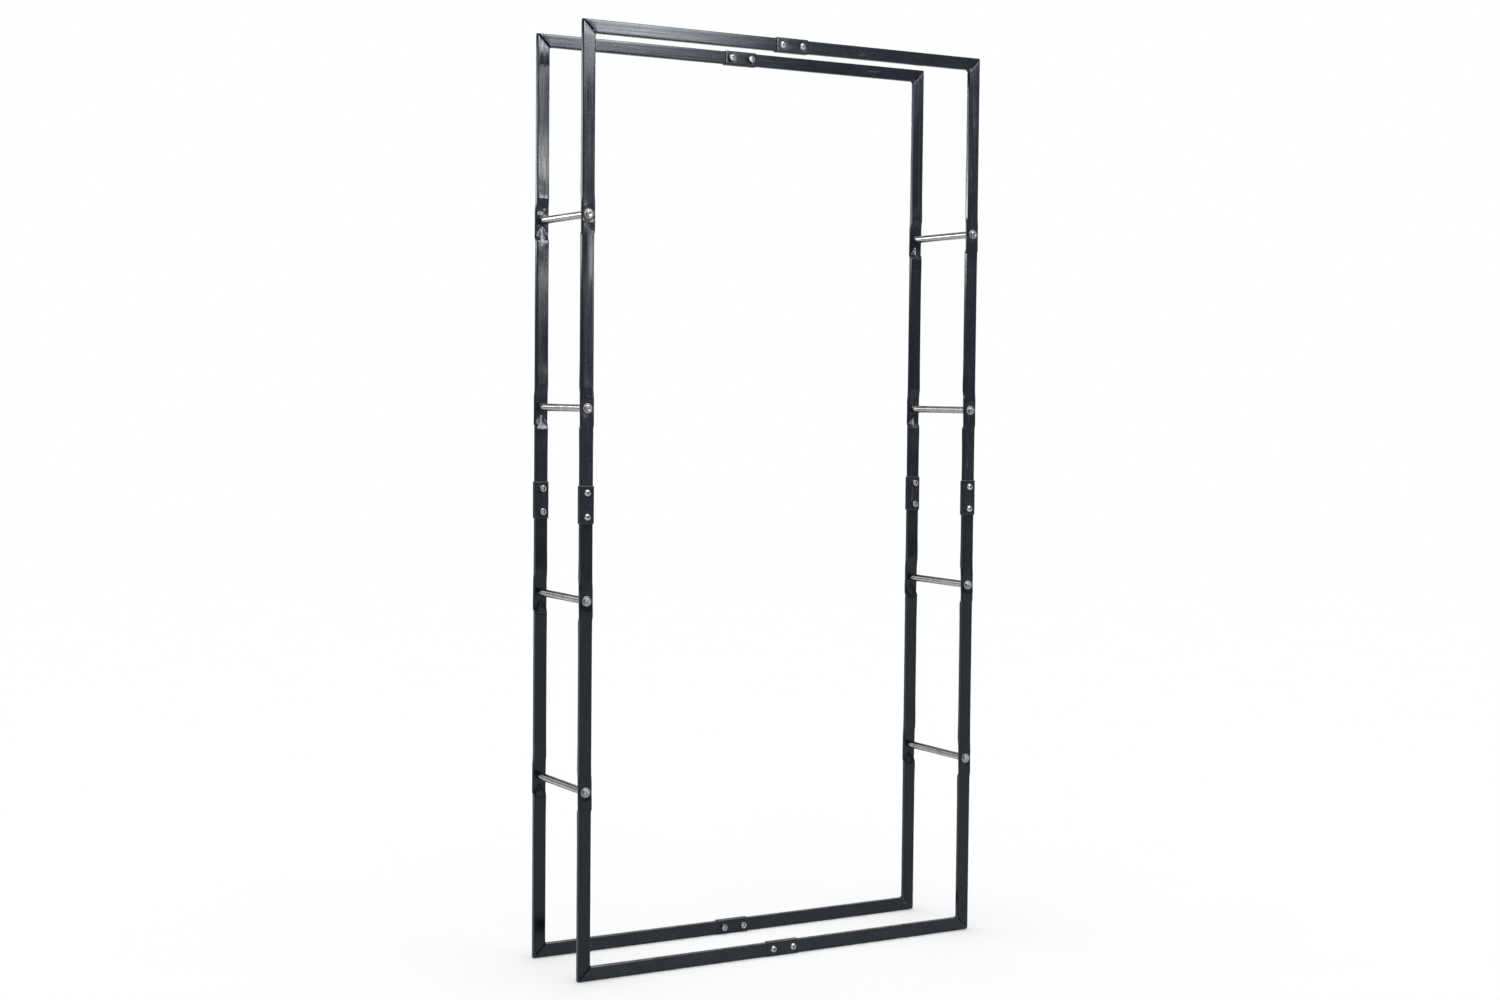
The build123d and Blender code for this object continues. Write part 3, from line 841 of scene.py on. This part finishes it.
def weld(node, side, level, way):
    """A rippled fillet in the inner corner, a bead on the outer edge, and a run on a top mitre."""
    shell = Shell()
    seed = dice.uniform(0, 50)
    run_length = dice.uniform(SEAM_RUN_SHORTEST, SEAM_RUN_LONGEST) * MM
    outer_x, outer_z = post_x + TUBE_WIDTH / 2, rail_rise + TUBE_WIDTH / 2
    inner_x, inner_z = outer_x - TUBE_WIDTH, outer_z - TUBE_WIDTH

    def at(x, y, z):
        return (side * x, way * (frame_y + y), MID_HEIGHT + level * z)

    fillet = []
    for along in spaced(-FILLET_HALF, FILLET_HALF, 32):
        thickness = 0.45 + 0.55 * swelling(along, FILLET_HALF + 0.3 * MM, 0.0)
        leg = FILLET_LEG * thickness * ripple(along, seed)
        ring = []
        for angle in spaced(0.0, math.pi / 2, 14):
            a, b = math.cos(angle) ** 1.38 * leg, math.sin(angle) ** 1.38 * leg
            ring.append(at(inner_x - a, along, inner_z - b))
        ring.append(at(inner_x + FILLET_ROOT, along, inner_z - leg))
        ring.append(at(inner_x + FILLET_ROOT, along, inner_z + FILLET_ROOT))
        ring.append(at(inner_x - leg, along, inner_z + FILLET_ROOT))
        fillet.append(ring)
    shell.skin(fillet, cap_start=True, cap_end=True)

    bead = []
    for along in spaced(-BEAD_HALF, BEAD_HALF, 32):
        thickness = swelling(along, BEAD_HALF + 0.1 * MM, 0.02)
        radius = BEAD_RADIUS * thickness * ripple(along, seed + 2)
        middle_x, middle_z = outer_x - BEAD_INSET, outer_z - BEAD_INSET
        bead.append([at(middle_x + a, along, middle_z + b) for a, b, _ in circle(radius, 0.0, 20)])
    shell.skin(bead, cap_start=True, cap_end=True)

    if level > 0:
        seam_run = []
        for along in spaced(0.0, run_length, 36):
            thickness = swelling(along - run_length / 2, run_length / 2 + 0.1 * MM, 0.02)
            half_width = SEAM_RUN_HALF_WIDTH * thickness * ripple(along, seed + 4)
            ring = []
            for across, out, _ in circle(1.0, 0.0, 16):
                a = (along + half_width * across) / math.sqrt(2)
                b = (along - half_width * across) / math.sqrt(2)
                proud = SEAM_RUN_HEIGHT * thickness * out - SEAM_RUN_SINK
                ring.append(at(inner_x + a, TUBE_DEPTH / 2 + proud, inner_z + b))
            seam_run.append(ring)
        shell.skin(seam_run, cap_start=True, cap_end=True)
    shell.piece(f"{node}_beads", node, "weld_bead", weld_coat, sharp=60)


for frame_name, level_name, side_name in product(FRAMES, LEVELS, SIDES):
    weld(f"{frame_name}_{level_name}_{side_name}_weld",
         SIDES[side_name], LEVELS[level_name], FRAMES[frame_name])


# ------------------------------------------------------------------ floor and backdrop

FLOOR_REACH = 14.0
FLOOR_TONE = (0.94, 0.94, 0.94)
BACKDROP_RADIUS = 13.5


def staged(name, mesh, material):
    """An object that belongs to the studio, not to the rack."""
    mesh.materials.append(material)
    made = bpy.data.objects.new(name, mesh)
    bpy.context.scene.collection.objects.link(made)
    made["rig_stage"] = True
    return made


def pale_floor():
    n = Nodes("pale_floor")
    cloud = n.noise(even(3.0), detail=3.0)
    n.surface(Base_Color=n.mix(cloud, shaded(FLOOR_TONE, 0.985), (*FLOOR_TONE, 1)),
              Roughness=0.8, Specular_IOR_Level=0.1)
    return n.material


def white_glow():
    glow = bpy.data.materials.new("white_backdrop")
    glow.use_nodes = True
    tree = glow.node_tree
    tree.nodes.clear()
    emitter = tree.nodes.new("ShaderNodeEmission")
    sink = tree.nodes.new("ShaderNodeOutputMaterial")
    tree.links.new(emitter.outputs[0], sink.inputs["Surface"])
    return glow


floor_mesh = bpy.data.meshes.new("floor")
floor_corners = [(-FLOOR_REACH, -FLOOR_REACH, 0), (FLOOR_REACH, -FLOOR_REACH, 0),
                 (FLOOR_REACH, FLOOR_REACH, 0), (-FLOOR_REACH, FLOOR_REACH, 0)]
floor_mesh.from_pydata(floor_corners, [], [(0, 1, 2, 3)])
floor = staged("floor", floor_mesh, pale_floor())

# A plain white backdrop all round, which lights nothing and shows in no reflection
dome_mesh = bpy.data.meshes.new("backdrop")
work = bmesh.new()
bmesh.ops.create_uvsphere(work, u_segments=64, v_segments=32, radius=BACKDROP_RADIUS)
work.to_mesh(dome_mesh)
work.free()
backdrop = staged("backdrop", dome_mesh, white_glow())
backdrop.visible_diffuse = False
backdrop.visible_glossy = False
backdrop.visible_transmission = False
backdrop.visible_shadow = False


# ------------------------------------------------------------------ light

WORLD_STRENGTH = 0.35
OVERHEAD_STRENGTH = 2.35
OVERHEAD_SPREAD = 70  # degrees
BAR_GLOWS = [1.2, 1.6, 3.2, 7.0]  # one for each level of crossbars, from the lowest up

world = bpy.data.worlds.new("studio")
world.use_nodes = True
world.node_tree.nodes["Background"].inputs["Color"].default_value = (1.0, 1.0, 1.0, 1)
world.node_tree.nodes["Background"].inputs["Strength"].default_value = WORLD_STRENGTH
bpy.context.scene.world = world


def softbox(name, place, target, size, radiance, tint=(1, 1, 1), skips=(), only=()):
    """An area light given by the radiance it shows in a reflection; it may skip or pick objects."""
    width, height = size
    light = bpy.data.lights.new(name, "AREA")
    light.shape = "RECTANGLE"
    light.size = width
    light.size_y = height
    light.energy = radiance * math.pi * width * height
    light.color = tint
    lamp = bpy.data.objects.new(name, light)
    lamp.location = place
    lamp.visible_camera = False
    lamp.rotation_euler = (Vector(target) - Vector(place)).to_track_quat("-Z", "Y").to_euler()
    bpy.context.scene.collection.objects.link(lamp)
    group = bpy.data.collections.new(f"{name}_linking")
    for thing in [*skips, *only]:
        group.objects.link(thing)
    for entry in group.collection_objects:
        entry.light_linking.link_state = "EXCLUDE" if skips else "INCLUDE"
    lamp.light_linking.receiver_collection = group


def named(text):
    """The rack's pieces that have a text in their names."""
    return [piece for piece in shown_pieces() if text in piece.name]


crossbars = [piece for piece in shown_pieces() if piece.get("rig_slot") == "crossbar"]
fasteners = [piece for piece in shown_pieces() if piece.name.endswith("_set")]
lower_uprights = named("lower_upright")
mildly_lit = [floor, *crossbars, *fasteners]  # the key and both back lamps leave these out

KEY_PLACE, KEY_TARGET, KEY_SIZE = (0.60, -4.1, 3.80), (0.45, 0.0, 1.9), (3.2, 2.4)
softbox("key", KEY_PLACE, KEY_TARGET, KEY_SIZE, radiance=28.0, tint=(1.0, 0.93, 0.93),
        skips=[*mildly_lit, *lower_uprights])
softbox("lower_fill", place=(1.5, -4.1, 2.5), target=(0.0, 0.0, 0.7), size=(3.4, 2.4),
        radiance=0.9, only=lower_uprights)
softbox("fastener_fill", KEY_PLACE, KEY_TARGET, KEY_SIZE, radiance=7.5, only=fasteners)
softbox("back_strip", place=(-2.5, 4.0, 2.2), target=(-0.5, 0.0, 1.7), size=(1.6, 0.9),
        radiance=4.5, skips=mildly_lit)
softbox("back_key", place=(2.3, 4.6, 3.4), target=(0.0, 0.0, 1.5), size=(3.4, 2.2),
        radiance=13.0, tint=(1.0, 0.95, 0.93), skips=[*mildly_lit, *named("_bottom_")])

# Reflectors that give single uprights the bright edges and broken streaks they show
softbox("edge_reflector", place=(-2.5, 4.0, 2.08), target=(0.47, -0.1, 1.6), size=(1.1, 0.42),
        radiance=15.0, only=named("front_right_upper_upright"))
softbox("low_reflector", place=(1.4, -4.0, 1.99), target=(-0.48, 0.1, 1.6), size=(1.0, 0.42),
        radiance=44.0, tint=(1.0, 0.90, 0.83), only=named("back_left_upper_upright"))
softbox("side_reflector", place=(2.75, -4.1, 1.83), target=(-0.48, -0.1, 1.5), size=(1.1, 0.65),
        radiance=14.0, tint=(1.0, 0.92, 0.88), only=named("front_left_upper_upright"))
for number, radiance in enumerate(BAR_GLOWS, start=1):
    softbox(f"bar_glow_{number}", place=(-2.6, 5.0, 2.8), target=(0.0, 0.0, 1.0),
            size=(1.4, 1.6), radiance=radiance, only=named(f"crossbar_{number}"))

overhead_data = bpy.data.lights.new("overhead", "SUN")
overhead_data.energy = OVERHEAD_STRENGTH
overhead_data.angle = math.radians(OVERHEAD_SPREAD)
overhead = bpy.data.objects.new("overhead", overhead_data)
bpy.context.scene.collection.objects.link(overhead)


# ------------------------------------------------------------------ camera

CAMERA_PLACE = (-2.4724, -4.2394, 1.2385)
CAMERA_YAW, CAMERA_PITCH, CAMERA_ROLL = 0.5233, -0.0492, 0.0096  # radians, yaw from +Y towards +X
LENS, SENSOR = 52.965, 36.0  # mm

camera_data = bpy.data.cameras.new("camera")
camera_data.lens = LENS
camera_data.sensor_width = SENSOR
camera_data.clip_end = 100.0
camera = bpy.data.objects.new("camera", camera_data)
ahead = Vector((math.sin(CAMERA_YAW) * math.cos(CAMERA_PITCH),
                math.cos(CAMERA_YAW) * math.cos(CAMERA_PITCH), math.sin(CAMERA_PITCH)))
level_right = Vector((math.cos(CAMERA_YAW), -math.sin(CAMERA_YAW), 0.0))
level_up = level_right.cross(ahead)
right = level_right * math.cos(CAMERA_ROLL) + level_up * math.sin(CAMERA_ROLL)
up = level_up * math.cos(CAMERA_ROLL) - level_right * math.sin(CAMERA_ROLL)
turn = Matrix((right, up, -ahead)).transposed().to_4x4()
camera.matrix_world = Matrix.Translation(CAMERA_PLACE) @ turn
bpy.context.scene.collection.objects.link(camera)
bpy.context.scene.camera = camera
bpy.context.scene.view_settings.view_transform = "Standard"
